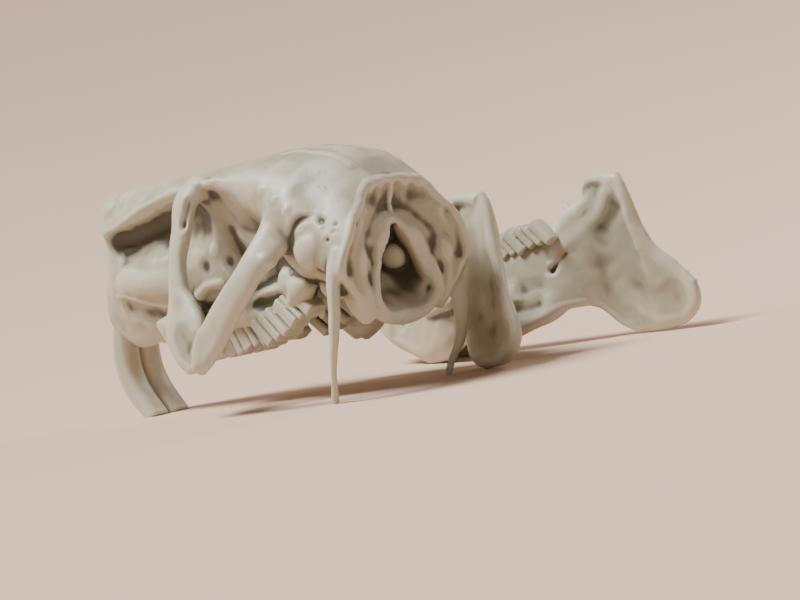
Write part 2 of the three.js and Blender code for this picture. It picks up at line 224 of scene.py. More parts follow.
def select_only(*pieces):
    clear_selection()
    for piece in pieces:
        piece.select_set(True)
    bpy.context.view_layer.objects.active = pieces[0]


def skin(rings, of_jaw=False):
    """A closed piece over rings: a grid rolled into a tube, merged at its seam and capped."""
    along, around = rings.shape[0] - 1, rings.shape[1]
    clear_selection()
    bpy.ops.mesh.primitive_grid_add(x_subdivisions=around, y_subdivisions=along, size=1)
    piece = bpy.context.object
    flat = np.empty(len(piece.data.vertices) * 3)
    piece.data.vertices.foreach_get("co", flat)
    u, v, _ = flat.reshape(-1, 3).T
    column = np.rint((u + 0.5) * around).astype(int) % around
    row = np.rint((v + 0.5) * along).astype(int)
    piece.data.vertices.foreach_set("co", to_row(rings[row, column], of_jaw).ravel())
    bpy.ops.object.mode_set(mode="EDIT")
    bpy.ops.mesh.select_all(action="SELECT")
    bpy.ops.mesh.remove_doubles(threshold=MERGE_WITHIN)
    bpy.ops.mesh.fill_holes(sides=0)
    bpy.ops.mesh.select_all(action="SELECT")
    bpy.ops.mesh.normals_make_consistent(inside=False)
    bpy.ops.object.mode_set(mode="OBJECT")
    return piece


def ball(centre, radii, lean=0.0, turn=0.0, of_jaw=False):
    """An ellipsoid that leans about the sideways axis and turns about the upright, in degrees."""
    clear_selection()
    bpy.ops.mesh.primitive_uv_sphere_add(segments=32, ring_count=20, radius=1)
    piece = bpy.context.object
    flat = np.empty(len(piece.data.vertices) * 3)
    piece.data.vertices.foreach_get("co", flat)
    shape = np.diag(radii)
    spin = Matrix.Rotation(math.radians(turn), 3, "Z") @ Matrix.Rotation(math.radians(lean), 3, "Y")
    points = flat.reshape(-1, 3) @ shape @ np.array(spin).T + np.asarray(centre, float)
    piece.data.vertices.foreach_set("co", to_row(points, of_jaw).ravel())
    return piece


def both_sides(path):
    """A left-hand path or list of points, and its mirror image on the right."""
    left = np.asarray(path, float)
    right = left.copy()
    right[..., 1] *= -1
    return left, right


def two_sided(x, half):
    """One cross-section alike on both sides: x, then points of y, z and a forward shift."""
    left = [(x + (p[2] if len(p) > 2 else 0), p[0], p[1]) for p in half]
    right = [(x + (p[2] if len(p) > 2 else 0), -p[0], p[1]) for p in reversed(half[1:-1])]
    return left + right


def plate_section(x, top_y, top_z, low_y, low_z, top_half, low_half):
    """One cross-section of the jaw's leaning plate, with half its thickness at top and bottom."""
    middle_y, middle_z = (top_y + low_y) / 2, (top_z + low_z) / 2
    middle_half = (top_half + low_half) / 2 + 0.6
    return [
        (x, top_y, top_z),
        (x, top_y + top_half, top_z - top_half),
        (x, middle_y + middle_half, middle_z),
        (x, low_y + low_half, low_z + low_half),
        (x, low_y, low_z),
        (x, low_y - low_half, low_z + low_half),
        (x, middle_y - middle_half, middle_z),
        (x, top_y - top_half, top_z - top_half),
    ]


def apply_modifier(piece, kind, **values):
    select_only(piece)
    modifier = piece.modifiers.new(kind.title(), kind)
    for name, value in values.items():
        setattr(modifier, name, value)
    bpy.ops.object.modifier_apply(modifier=modifier.name)


def joined(forms):
    """One object that holds the meshes of all the forms."""
    select_only(*forms)
    if len(forms) > 1:
        bpy.ops.object.join()
    return bpy.context.object


def fuse(name, forms, voxel):
    """Joins forms that overlap into one piece with one even skin."""
    piece = joined(forms)
    piece.name = name
    piece.data.name = name
    apply_modifier(piece, "REMESH", mode="VOXEL", voxel_size=voxel / 1000)
    return piece


def carve(piece, cutters):
    """Takes the cutters' shapes out of the piece."""
    cutter = joined(cutters)
    apply_modifier(piece, "BOOLEAN", operation="DIFFERENCE", solver="MANIFOLD", object=cutter)
    bpy.data.objects.remove(cutter)


def points_of(piece, of_jaw=False):
    flat = np.empty(len(piece.data.vertices) * 3)
    piece.data.vertices.foreach_get("co", flat)
    return from_row(flat, of_jaw)


def normals_of(piece, of_jaw=False):
    """Normals turned to the bone's own axes."""
    flat = np.empty(len(piece.data.vertices) * 3)
    piece.data.vertices.foreach_get("normal", flat)
    x, y, z = flat.reshape(-1, 3).T
    x, y = -x, -y
    if of_jaw:
        c, s = math.cos(JAW_TURN), math.sin(JAW_TURN)
        x, y = x * c + y * s, y * c - x * s
    return np.stack([x, y, z], 1)


def put_points(piece, points, of_jaw=False):
    piece.data.vertices.foreach_set("co", to_row(points, of_jaw).ravel())
    piece.data.update()


def neighbour_mean(piece, values):
    """The mean of each vertex's neighbours, for smoothing and for finding hollows."""
    ends = np.empty(len(piece.data.edges) * 2, int)
    piece.data.edges.foreach_get("vertices", ends)
    a, b = ends.reshape(-1, 2).T
    count = np.bincount(ends, minlength=len(values))[:, None]
    total = np.zeros_like(values)
    for column in range(values.shape[1]):
        total[:, column] = np.bincount(a, values[b, column], len(values))
        total[:, column] += np.bincount(b, values[a, column], len(values))
    return total / np.maximum(count, 1)


def smooth(piece, rounds, of_jaw=False):
    points = points_of(piece, of_jaw)
    for _ in range(rounds):
        points += SMOOTH_SHARE * (neighbour_mean(piece, points) - points)
    put_points(piece, points, of_jaw)


def soften(piece, spots, reach, rounds):
    """Smooths the surface near left-hand spots and their mirror images, like a smoothing brush."""
    points = points_of(piece)
    share = np.zeros(len(points))
    for spot in np.concatenate(both_sides(spots)):
        share = np.maximum(share, falloff(np.linalg.norm(points - spot, axis=1), reach))
    share = SMOOTH_SHARE * share[:, None]
    for _ in range(rounds):
        points += share * (neighbour_mean(piece, points) - points)
    put_points(piece, points)


def falloff(distance, reach):
    near = np.clip(1 - (distance / reach) ** 2, 0, None)
    return near * near


def distance_to_path(points, path):
    """Distance from each point to a line through the path's points."""
    best = np.full(len(points), np.inf)
    for start, end in zip(path[:-1], path[1:]):
        way = end - start
        length = way @ way
        t = np.clip((points - start) @ way / max(length, 1e-9), 0, 1)[:, None]
        best = np.minimum(best, np.linalg.norm(points - start - t * way, axis=1))
    return best


def stroke(piece, path, reach, height, of_jaw=False, mirrored=True):
    """Raises a ridge along a path, or with a negative height presses a groove or dent."""
    points, normals = points_of(piece, of_jaw), normals_of(piece, of_jaw)
    lines = both_sides(path) if mirrored else (np.asarray(path, float),)
    lift = np.zeros(len(points))
    for line in lines:
        if len(line) == 1:
            distance = np.linalg.norm(points - line[0], axis=1)
        else:
            distance = distance_to_path(points, along_spline(line, 6 * len(line)))
        lift = np.maximum(lift, falloff(distance, reach))
    put_points(piece, points + normals * (lift * height)[:, None], of_jaw)


def weather(piece, seed, of_jaw=False):
    """Slow, shallow unevenness, so that no face is perfectly regular."""
    points, normals = points_of(piece, of_jaw), normals_of(piece, of_jaw)
    random = np.random.default_rng(seed)
    lift = np.zeros(len(points))
    for length, height in UNEVEN_WAVES:
        for _ in range(WAVES_OF_EACH):
            way = random.normal(size=3)
            way *= 2 * math.pi / (length * np.linalg.norm(way))
            lift += height / (WAVES_OF_EACH / 2) * np.sin(points @ way + random.uniform(0, 6.3))
    put_points(piece, points + normals * lift[:, None], of_jaw)


def mark_hollows(piece):
    """Stores how deep each vertex lies in a hollow, from -1 on a crest to 1 in a pit, as the mask of the
    painted shade and the painted highlight.
    """
    points = points_of(piece)
    blurred = points.copy()
    depth = np.zeros(len(points))
    normals = normals_of(piece)
    done = 0
    for rounds, weight in HOLLOW_ROUNDS:
        for _ in range(rounds - done):
            blurred = (1 - HOLLOW_BLUR) * blurred + HOLLOW_BLUR * neighbour_mean(piece, blurred)
        done = rounds
        depth += weight * np.einsum("ij,ij->i", blurred - points, normals)
    attribute = piece.data.attributes.new("hollow", "FLOAT", "POINT")
    attribute.data.foreach_set("value", np.clip(depth, -1, 1))


def finish_piece(piece, material, slot, budget, *nodes):
    """Thins the mesh to its budget, shades it and hands it to the frame."""
    triangles = sum(len(face.vertices) - 2 for face in piece.data.polygons)
    if triangles == 0:
        raise RuntimeError(f"{piece.name} has no surface left")
    if triangles > budget:
        apply_modifier(piece, "DECIMATE", ratio=budget / triangles)
    piece.data.materials.clear()
    piece.data.materials.append(material)
    select_only(piece)
    bpy.ops.object.shade_smooth()
    # The mask that the material turns into painted shade in the hollows and painted highlight on the crests
    mark_hollows(piece)
    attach(piece, "root")
    if nodes:
        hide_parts(*nodes)


def keep_in_box(piece):
    """Flattens what reaches below the floor, and eases in what would pass the box's other sides."""
    flat = np.empty(len(piece.data.vertices) * 3)
    piece.data.vertices.foreach_get("co", flat)
    places = flat.reshape(-1, 3)
    low, high = (np.array(corner) for corner in CAD_BOX)
    for axis, inward in ((0, 1), (0, -1), (1, 1), (1, -1), (2, -1)):
        wall = low[axis] if inward > 0 else high[axis]
        room = (places[:, axis] - wall) * inward
        near = room < EASE
        places[near, axis] = wall + inward * EASE * np.exp(room[near] / EASE - 1)
    places[:, 2] = np.maximum(places[:, 2], low[2])
    piece.data.vertices.foreach_set("co", places.ravel())
    piece.data.update()


# The cranium's forms, left side where a form has a mirror image
CRANIUM_STATIONS = [
    two_sided(14, [
        (0, 90, 4), (9, 88, 3), (18, 81, 1), (26, 73), (31, 64), (28, 55, 2), (18, 46, 5), (0, 42, 7),
    ]),
    two_sided(8, [
        (0, 101, 5), (18, 100, 4), (30, 89, 2), (39, 80), (44, 72, 1), (48, 62, 3), (31, 43, 5), (0, 34, 9),
    ]),
    two_sided(14, [
        (0, 108, 4), (18, 106, 3), (32, 95, 1), (41, 84), (45.5, 74), (47, 62, 2), (31, 43, 4), (0, 33, 8),
    ]),
    two_sided(27, [(0, 118), (20, 114), (33, 102), (42, 90), (45.5, 78), (42, 64), (27, 49), (0, 42)]),
    two_sided(43, [(0, 124), (21, 119), (36, 108), (45, 96), (45, 82), (40, 67), (25, 57), (0, 54)]),
    two_sided(55, [(0, 126), (21, 121), (37, 111), (44, 98), (43.5, 84), (35, 68), (22, 58), (0, 56)]),
    two_sided(66, [(0, 127), (21, 122), (37.5, 113), (40, 99), (34, 86), (26, 72), (19, 60), (0, 57)]),
    two_sided(82, [(0, 127), (20, 123), (37.5, 115), (37, 104), (28, 92), (23, 74), (18, 60), (0, 55)]),
    two_sided(98, [(0, 127), (18, 123), (37, 116), (31, 106), (23, 88), (22, 68), (18, 55), (0, 51)]),
    two_sided(118, [(0, 126), (17, 122), (33, 116), (24, 102), (23, 82), (23, 64), (18, 54), (0, 49)]),
    two_sided(148, [(0, 126), (15, 122.5), (24, 116), (16, 103), (24, 76), (20, 59), (12, 51), (0, 49)]),
    two_sided(177, [(0, 127), (14, 123), (22, 111), (15, 100), (24, 73), (18, 55), (12, 46), (0, 46)]),
    two_sided(203, [
        (0, 126), (13, 122), (19.5, 106), (14.5, 98), (21, 73), (17, 51, 2), (11.5, 39, 2), (0, 40, 2),
    ]),
    two_sided(216, [
        (0, 124), (11, 119), (17, 105), (15.4, 97), (18, 73, 3), (16, 57, 8), (11, 48, 7), (0, 48, 5),
    ]),
]
ARCH_BAR = [
    (114, 28, 117, 11, 7), (118.5, 37, 110.5, 7.5, 5), (119.5, 43, 96, 6.4, 4.2), (120, 49, 80, 4.8, 3.8),
    (118.8, 52.5, 66, 6, 3.8), (115.5, 55.5, 55, 11, 4), (112.5, 58.5, 45, 14, 4), (108, 60.5, 33, 11.5, 3.8),
    (105.5, 61.3, 24.5, 6, 3.2),
]
ARCH_SPIKE = [
    (119, 57, 44, 14, 3.6), (127, 55.5, 47, 9, 3.2), (133, 54.4, 49.2, 5.2, 2.6), (138, 53.5, 51, 1.8, 1.8),
]
ARCH_BOW = [
    (107, 60.5, 27, 6.5, 3.4), (98, 61.8, 33.5, 8, 4.2), (86.3, 62, 43.3, 8.4, 4.4),
    (76.3, 61, 53.3, 8.2, 4.4), (67, 59.5, 62, 7.6, 4.6), (60, 56.5, 70, 7.6, 5),
    (55.5, 50.5, 77.5, 8.5, 5), (53.5, 43.5, 84, 9.5, 5), (53, 37.5, 91, 10, 5),
]
ARCH_LOW_ROOT = [(150, 14, 52, 8, 7), (141, 26, 49, 7, 5), (132, 40, 48, 6.5, 4.2), (124, 52, 46, 7, 4)]
SOCKET_BONE = [
    (168, 7, 52, 5, 5), (150, 9, 49, 8, 7.5), (120, 13, 50, 9, 8.5), (92, 17.5, 51, 9.5, 8),
    (72, 22, 54, 9, 7.5), (60, 25, 57, 8, 7), (53, 26.5, 59, 4, 4),
]
PALATE_WING = [(72, 15, 56, 9, 2.6), (64, 15.5, 52, 7, 2.2), (60, 16, 46, 4, 1.9), (58.5, 16.3, 40, 1.8, 1.5)]
CONDYLE = [
    (20, 5, 84, 3.5, 2.4), (19, 11, 77, 4.5, 3.2), (18.5, 16, 69, 5, 4.4), (18.5, 19, 61, 5, 4.6),
    (17, 22.5, 53, 5, 4), (17, 23, 45, 4.8, 3.6), (18.6, 15.5, 37.2, 4.6, 3.2), (20.6, 5, 33.8, 4.4, 3),
    (21, -1, 33.4, 4.4, 3),
]
NECK_COLUMN = [
    (17, 26, 85, 5, 4), (17, 30, 76, 7, 5), (18, 33, 66, 8, 6), (18.5, 33, 56, 8, 6.5),
    (19, 29, 46, 7.5, 6.5), (20, 23, 38, 6, 5),
]
EAR_PROCESS = [
    (16, 42, 72, 6, 4), (19, 44, 61, 7.6, 4), (20.4, 45.5, 51, 7, 3.2), (21.5, 46.5, 41, 5.6, 2.8),
    (23, 47.4, 32, 4.6, 2.6), (24.8, 47.9, 24, 3.8, 2.3), (27.4, 47.2, 16, 3, 2), (31.4, 44.2, 8, 2.5, 1.9),
    (33.7, 42.7, 2.2, 2.4, 2.1), (34.4, 42.2, -0.8, 2.2, 2),
]
NOSE_HOLLOW = [
    (226, 0, 84, 18, 12), (212, 0, 84, 17, 12.5), (196, 0, 86, 15, 12), (165, 0, 88, 12, 11),
    (138, 0, 88, 10, 10),
]
# Balls at the back of the head, each with its centre, half sizes and lean in degrees:
# ear capsule, bone behind it, bone beside the opening, and fillers between the columns
BACK_BALLS = (
    ((33, 39.5, 74), (11.5, 9.5, 10), 25),
    ((24, 38, 70), (10, 8.5, 9), 0),
    ((19, 18, 64), (5.5, 5.5, 9), 0),
    ((23, 26, 60), (9, 9, 15), 0),
    ((57, 20, 62), (10, 9, 6), 0),
    ((40, 22, 55), (9, 8, 7), 0),
    ((70, 22, 62), (7, 6, 7), 0),
)
# Balls cut out of the head for the eye: the socket and the hollow under the brow
SOCKET_BALLS = (
    ((88, 45, 93), (22, 13, 11), -22),
    ((105, 37, 105.5), (10, 8, 8.5), 0),
)
NOSE_TIP = ((205, 0, 115), (19, 17.5, 11))
BRAIN = ((58, 0, 88), (38, 24, 27))
# The hollow beside the bone under the eye, turned to follow that bone
CHEEK_HOLLOW = ((84, 31.5, 52), (20, 9, 6))
CHEEK_HOLLOW_TURN = -13
# The capsule that shows inside the large opening
INNER_CAPSULE = ((34, 18, 66), (9, 9, 8))
# Where the carved surface is brushed smooth: places, reach and rounds
SOFT_SPOTS = (
    ([(104, 26, 100), (94, 28, 94), (84, 30, 92), (74, 34, 92), (54, 41, 90)], 17, 50),
    ([(84, 27, 52), (72, 29, 56)], 12, 20),
)
# The opening for the spinal cord, narrow at the top, and the way from it to the brain
SPINE_HOLE = [two_sided(x, half) for x, half in (
    (-14, [(0, 84), (9, 76), (15, 67), (21, 58), (23, 49), (20, 40), (11, 33), (0, 31)]),
    (13, [(0, 81), (5, 75), (10, 67), (14.5, 58), (19, 50), (18, 43), (10, 36), (0, 34.5)]),
    (26, [(0, 83), (7, 78), (13, 71), (17, 63), (18, 54), (14, 48), (7, 45.5), (0, 45)]),
    (44, [(0, 100), (12, 96), (19, 86), (21, 77), (19, 68), (14, 63.5), (6, 62), (0, 61.5)]),
    (58, [(0, 104), (12, 100), (19, 91), (21, 82), (19, 74), (13, 69), (6, 67), (0, 66.5)]),
)]
UPPER_INCISOR = [
    (198, 7.6, 71, 6.6, 5), (211, 7.6, 64, 6.6, 5.8), (219, 7.6, 53, 6.6, 6.2),
    (222.8, 7.6, 42, 6.6, 6.4), (223.6, 7.6, 31, 6.6, 6.4), (221.8, 7.6, 22, 6.6, 6.3),
    (217.6, 7.6, 13.5, 6.6, 6), (211.5, 7.6, 6, 6.6, 5.2), (204.5, 7.6, -1, 6.4, 3.8),
]

# The jaw's forms, left side
JAW_STATIONS = [plate_section(*values) for values in (
    (-47, 60, 21, 60, 14, 1.2, 1.2),
    (-43, 59, 29, 60, 9, 1.8, 2.2),
    (-36, 56, 38, 59.5, 4.8, 2.0, 2.8),
    (-28, 51, 48, 58, 2.2, 2.2, 3.0),
    (-22.5, 47, 62, 57, 1.2, 2.4, 3.2),
    (-19.5, 45, 79, 56.5, 1.0, 2.6, 3.2),
    (-14, 45.5, 89, 56, 0.8, 3.0, 3.2),
    (-2, 45.5, 89, 54.5, 0.8, 3.0, 3.2),
    (7, 44, 84, 51, 6, 2.8, 3.2),
    (14, 42.5, 79, 43, 17, 2.6, 3.2),
    (25, 39.5, 75, 33, 19.5, 3.6, 4.2),
    (36, 33, 63, 27, 13.5, 6.4, 5.2),
    (52, 27, 62, 23, 10, 7.2, 6.3),
    (70, 21.5, 57, 19.5, 5, 7.5, 7),
    (90, 15.5, 54, 15, 0, 7.4, 7.8),
    (106, 10.5, 50, 11.5, -0.8, 7, 8),
    (124, 8.4, 46, 9, 4, 6.6, 7.4),
    (146, 7.4, 45, 7.6, 11, 6.2, 6.6),
    (162, 7, 48, 7, 22, 5.6, 5.6),
)]
JAW_HOOK = [
    (-14, 46, 85, 4.6, 4.6), (-4, 46, 87, 5, 4), (5, 45.4, 87.4, 4.4, 3.4), (10.5, 44.6, 85, 3.2, 2.6),
    (13.5, 44, 80.5, 1.8, 1.6),
]
JAW_BEAK = [(25, 40.5, 66, 7, 2.8), (26.5, 41, 74, 3.6, 2), (27.5, 41, 78, 1.6, 1.2)]
CHEWING_CREST = [(18, 43, 40, 3, 3), (36, 38, 36, 4, 4.5), (60, 30, 33, 4, 5), (84, 23, 30, 3, 4)]
LOWER_INCISOR = [
    (138, 6.3, 27, 5.2, 5), (154, 6.3, 32, 5.4, 5.2), (168, 6.3, 38, 5.4, 5.2), (178, 6.3, 45, 5.3, 4.6),
    (185, 6.3, 52, 5.1, 2.2),
]


def limb_pair(path, wide, **detail):
    """A left limb and its mirror image."""
    sides = zip(both_sides(path), both_sides(wide))
    return [skin(limb_rings(side, way, **detail)) for side, way in sides]


def side_ball(side, centre, radii, lean=0.0, turn=0.0):
    """A left-hand ball of the cranium for side 1, or its mirror image for side -1."""
    x, y, z = centre
    return ball((x, y * side, z), radii, lean, turn * side)


# Each stroke is a path, how far it reaches and how far it lifts the surface, in millimetres
CRANIUM_STROKES = [
    # snout: rim over the side hollow, the hollow, the swelling under it and the seam below
    ([(211, 17, 104.5), (198, 19.5, 106), (188, 21, 108.5), (173, 22, 112.5), (160, 23, 115.5),
      (146, 24, 117), (130, 29, 117)], 2.6, 1.2),
    ([(206, 16, 97), (190, 16, 100), (172, 16, 103), (155, 17, 106), (138, 22, 108),
      (128, 25, 108)], 9, -1.8),
    ([(200, 17, 92), (186, 17, 93), (170, 17, 95), (154, 18, 96), (138, 22, 97), (128, 25, 97)], 14, -2.4),
    ([(198, 21, 76), (186, 23, 74), (168, 24, 72), (150, 24, 71)], 11, 1.8),
    ([(208, 20, 69), (200, 21, 68), (190, 22, 65), (182, 21.5, 62), (170, 20, 59), (156, 19, 57)], 1.8, 0.7),
    ([(198, 20, 61), (186, 19, 57), (172, 18, 53)], 8, -1.6),
    # cheek bar: pale rear rim, the curled ridge beside the eye and the groove inside it
    ([(109, 40, 113), (108, 41, 108), (110, 43, 103), (112, 45, 97), (114, 47, 92)], 2.6, 2.2),
    ([(112, 42, 109), (114, 43, 103), (115, 46, 97)], 2.6, -1.8),
    ([(115, 41, 111), (118, 43, 104), (118, 46, 98), (116, 47, 93)], 2.6, 1.2),
    ([(96, 66, 47), (97, 66, 40), (100, 66, 33), (103, 65, 27)], 3.4, 1.4),
    ([(111, 61, 44), (108, 63, 36)], 9, -1.0),
    # roof: rim over the eye socket, the line of the chewing muscle and small knobs at its end
    ([(110, 37, 117), (103, 36, 117), (95, 36, 117)], 3.2, 1.2),
    ([(66, 17, 123), (58, 15, 123), (45, 17, 120), (32, 17, 116), (22, 17, 110)], 3, 1.0),
    ([(58, 0, 127), (42, 0, 124), (30, 0, 119)], 9, -0.8),
    ([(61, 40, 107)], 4, 1.2),
    ([(54, 42, 108)], 3.2, 1.5),
    ([(50, 43, 101)], 3.4, 1.3),
    ([(42, 46, 95)], 4, 1.2),
    ([(36, 41, 102), (30, 42, 95)], 10, -1.2),
    # ear region: groove over the capsule, small holes and the bump behind the cheek root
    ([(43, 47, 78), (40, 47, 85), (33, 45, 90), (27, 44, 91), (23, 44, 87)], 3.4, -2.2),
    ([(52, 55, 73), (49, 52, 70)], 4.5, 1.8),
    ([(19, 45, 77)], 1.9, -1.8),
    ([(16, 43, 80)], 1.7, -1.6),
    ([(15, 42, 84)], 1.6, -1.6),
    ([(22, 43, 82)], 2.0, -1.6),
    # back of the head: crest, knobs of the neck line and the hollows under it
    ([(12, 19, 100), (11.5, 24, 96), (11, 27, 92), (10, 31.5, 88), (9, 36, 84), (8, 39, 80), (8.6, 41, 76),
      (9.2, 43.5, 72), (10, 46, 68), (11, 47.3, 64), (12, 48.3, 58)], 3, 1.6),
    ([(12, 18, 100), (12.5, 12, 101), (13, 6, 102), (13, 0, 102)], 3.4, 1.4),
    ([(12, 18, 99)], 3.6, 1.8),
    ([(12.5, 9, 100)], 4.5, 1.4),
    ([(14, 21, 92), (14, 14, 93)], 6, -0.8),
    ([(11, 34, 82), (11.5, 38, 75), (12.5, 41, 68), (14, 42, 60)], 5, -1.6),
    ([(14, 30, 64)], 9, 1.4),
    ([(15, 25, 42)], 2.0, -1.0),
    ([(15, 27, 46)], 2.0, 0.9),
    # rims of the great opening, with the groove between them
    ([(8.6, 24, 53), (9, 24, 45), (11, 17, 36), (14, 7, 31.5)], 2.2, 1.0),
    ([(8.6, 21, 53), (9, 20.5, 46), (11.5, 14, 39.5), (14, 6, 36)], 2.0, -0.8),
    # inside the eye socket
    ([(120, 24, 84)], 6, 1.6),
    ([(111, 24, 76)], 6, -1.4),
    ([(129, 24, 76)], 6, -1.2),
    ([(140, 21, 62), (130, 22, 66), (119, 23, 66)], 4, 1.8),
    ([(98, 24, 88), (90, 25, 84), (80, 26, 82)], 6, 1.0),
    ([(104, 23, 92), (101, 23, 80)], 6, -0.9),
    # dark hollow of the upper jaw above the teeth
    ([(102, 23, 52), (90, 26, 52), (80, 28, 53), (70, 31, 56)], 7, -1.5),
]
# Ridges and dents on the middle line only
MIDDLE_STROKES = [
    ([(14, 0, 100), (17, 0, 92), (18, 0, 84), (17.5, 0, 79)], 2.4, 1.8),
    ([(216, 0, 123), (180, 0, 128), (140, 0, 127)], 1.8, -0.5),
]


def build_cranium(voxel, budget):
    head = skin(body_rings(CRANIUM_STATIONS, *HEAD_MESH))
    carve(head, [side_ball(side, *values) for side in (1, -1) for values in SOCKET_BALLS])
    forms = [head, ball(*NOSE_TIP)]
    forms += limb_pair(ARCH_BAR, (1, 0, 0), squareness=2.6)
    forms += limb_pair(ARCH_SPIKE, (0, 0, 1))
    forms += limb_pair(ARCH_BOW, (0.69, 0, 0.72), squareness=2.4)
    forms += limb_pair(ARCH_LOW_ROOT, (0, 0, 1))
    forms += limb_pair(SOCKET_BONE, (0, 0, 1))
    forms += limb_pair(PALATE_WING, (1, 0, 0))
    forms += limb_pair(CONDYLE, (1, 0, 0))
    forms += limb_pair(NECK_COLUMN, (0, 1, 0))
    forms += limb_pair(EAR_PROCESS, (-0.66, 0.75, 0))
    forms += [side_ball(side, *values) for side in (1, -1) for values in BACK_BALLS]
    piece = fuse("cranium_bone", forms, voxel)
    cutters = [
        skin(limb_rings(NOSE_HOLLOW, (0, 0, 1))),
        skin(body_rings(SPINE_HOLE, *SPINE_HOLE_MESH)),
        ball(*BRAIN),
    ]
    cutters += [side_ball(side, *CHEEK_HOLLOW, turn=CHEEK_HOLLOW_TURN) for side in (1, -1)]
    carve(piece, cutters)
    forms = [piece] + [side_ball(side, *INNER_CAPSULE) for side in (1, -1)]
    piece = fuse("cranium_bone", forms, voxel)
    smooth(piece, 2)
    for spots, reach, rounds in SOFT_SPOTS:
        soften(piece, spots, reach, rounds)
    for path, reach, height in CRANIUM_STROKES:
        stroke(piece, path, reach, height)
    for path, reach, height in MIDDLE_STROKES:
        stroke(piece, path, reach, height, mirrored=False)
    weather(piece, CRANIUM_SEED)
    smooth(piece, 2)
    keep_in_box(piece)
    finish_piece(
        piece, bone_material(), "bone", budget, "braincase", "snout", "palate_and_cheek_teeth",
        "zygomatic_left", "zygomatic_right", "paroccipital_left", "paroccipital_right",
    )


# The round end of the hook
HOOK_BALL_AT = [(7, 44.6, 81)]
HOOK_BALL_SIZE = (7, 2.6, 5)
JAW_STROKES = [
    # raised rims at the rear edge and the lower corner
    ([(-16, 45, 88), (-19, 46, 78), (-20, 47, 68), (-24, 50, 56), (-31, 54, 45), (-39, 58, 35),
      (-45, 60, 26)], 4, 1.3),
    ([(-45, 61, 24), (-46, 62, 18), (-43, 62, 10), (-36, 61, 5), (-24, 60, 2.5),
      (-10, 58, 2)], 4.5, 1.4),
    ([(8, 44, 84), (12, 44, 80), (20, 42, 77), (26, 41, 76)], 2.4, 0.8),
    # inner face: ridge from the teeth up to the joint, and the hollow under it
    ([(28, 29, 54), (20, 33, 57), (12, 37, 62), (4, 41, 68), (-3, 43, 75), (-8, 44, 81)], 7, 1.2),
    ([(-12, 43, 70), (-5, 42, 62), (3, 40, 55)], 9, -1.2),
    ([(10, 42, 72), (4, 43, 79)], 9, -0.6),
    ([(8, 40, 52)], 13, 1.0),
    ([(-14, 50, 26), (-24, 53, 18), (-33, 55, 17)], 13, -1.4),
    # slit for the jaw's nerve, with a pale lip under it
    ([(30, 26, 42), (26, 28, 46), (22, 31, 50)], 3, -4.0),
    ([(31, 24, 40), (27, 26, 42)], 4, 1.4),
    ([(31, 26, 46), (26, 28, 50), (22, 31, 54)], 2.6, 1.4),
    # swelling over the front roots, the hollow behind it and the shelf below
    ([(64, 14, 35), (56, 15, 33)], 10, 2.0),
    ([(48, 17, 34), (38, 21, 34)], 8, -1.0),
    ([(60, 14, 22), (50, 16, 23), (40, 20, 25)], 7, -1.8),
    ([(57, 18, 12), (42, 21, 16), (29, 27, 21), (20, 36, 22)], 4, 1.0),
    # outer face: hollow behind the crest of the chewing muscle
    ([(0, 57, 34), (-8, 58, 26), (-16, 60, 18)], 12, -1.0),
    # chin
    ([(142, 14, 26)], 9, 2.0),
    ([(125, 15, 28), (118, 17, 32)], 8, -2.0),
]


def build_jaw(voxel, budget):
    for side, name in enumerate(("left", "right")):
        forms = [
            skin(body_rings(both_sides(JAW_STATIONS)[side], *JAW_MESH), of_jaw=True),
            skin(limb_rings(both_sides(JAW_HOOK)[side], (0, 1, 0)), of_jaw=True),
            skin(limb_rings(both_sides(JAW_BEAK)[side], (1, 0, 0)), of_jaw=True),
            ball(both_sides(HOOK_BALL_AT)[side][0], HOOK_BALL_SIZE, of_jaw=True),
            skin(limb_rings(both_sides(CHEWING_CREST)[side], (0, 0, 1)), of_jaw=True),
        ]
        piece = fuse("jaw_bone_" + name, forms, voxel)
        smooth(piece, 2, of_jaw=True)
        for path, reach, height in JAW_STROKES:
            stroke(piece, both_sides(path)[side], reach, height, of_jaw=True, mirrored=False)
        weather(piece, JAW_SEED, of_jaw=True)
        smooth(piece, 2, of_jaw=True)
        keep_in_box(piece)
        finish_piece(piece, bone_material(), "bone", budget, "jaw_" + name)


# How square a plate's outline is seen from above, and how evenly its points stand in height
PLATE_SQUARENESS = 6
PLATE_EVENNESS = 0.75
# Every second plate is wider than the ones between, and the plates are worn to three lengths
PLATE_WIDER = 0.4
PLATE_SHORTER = 0.6
PLATE_OVERLAP = 0.3


def tooth_plate(place, way, lean, width, above, below, thickness, of_jaw):
    """One flat plate of a cheek tooth, with rounded edges, reaching above and below its place."""
    clear_selection()
    bpy.ops.mesh.primitive_cube_add(size=1)
    piece = bpy.context.object
    bpy.ops.object.mode_set(mode="EDIT")
    bpy.ops.mesh.select_all(action="SELECT")
    bpy.ops.mesh.subdivide(number_cuts=6)
    bpy.ops.object.mode_set(mode="OBJECT")
    flat = np.empty(len(piece.data.vertices) * 3)
    piece.data.vertices.foreach_get("co", flat)
    points = flat.reshape(-1, 3) * 2
    upright = np.sign(points[:, 2]) * np.abs(points[:, 2]) ** PLATE_EVENNESS
    flat_sides = np.abs(points[:, :2])
    radius = np.maximum((flat_sides ** PLATE_SQUARENESS).sum(1) ** (1 / PLATE_SQUARENESS), 1e-6)
    points[:, :2] *= (flat_sides.max(1) / radius)[:, None]
    points[:, :2] *= np.array([thickness, width]) / 2
    points[:, 2] = (above - below) / 2 + upright * (above + below) / 2
    lean_matrix = np.array(Matrix.Rotation(lean, 3, "Y"))
    turn_matrix = np.array(Matrix.Rotation(math.atan2(way[1], way[0]), 3, "Z"))
    points = points @ lean_matrix.T @ turn_matrix.T + place
    piece.data.vertices.foreach_set("co", to_row(points, of_jaw).ravel())
    return piece


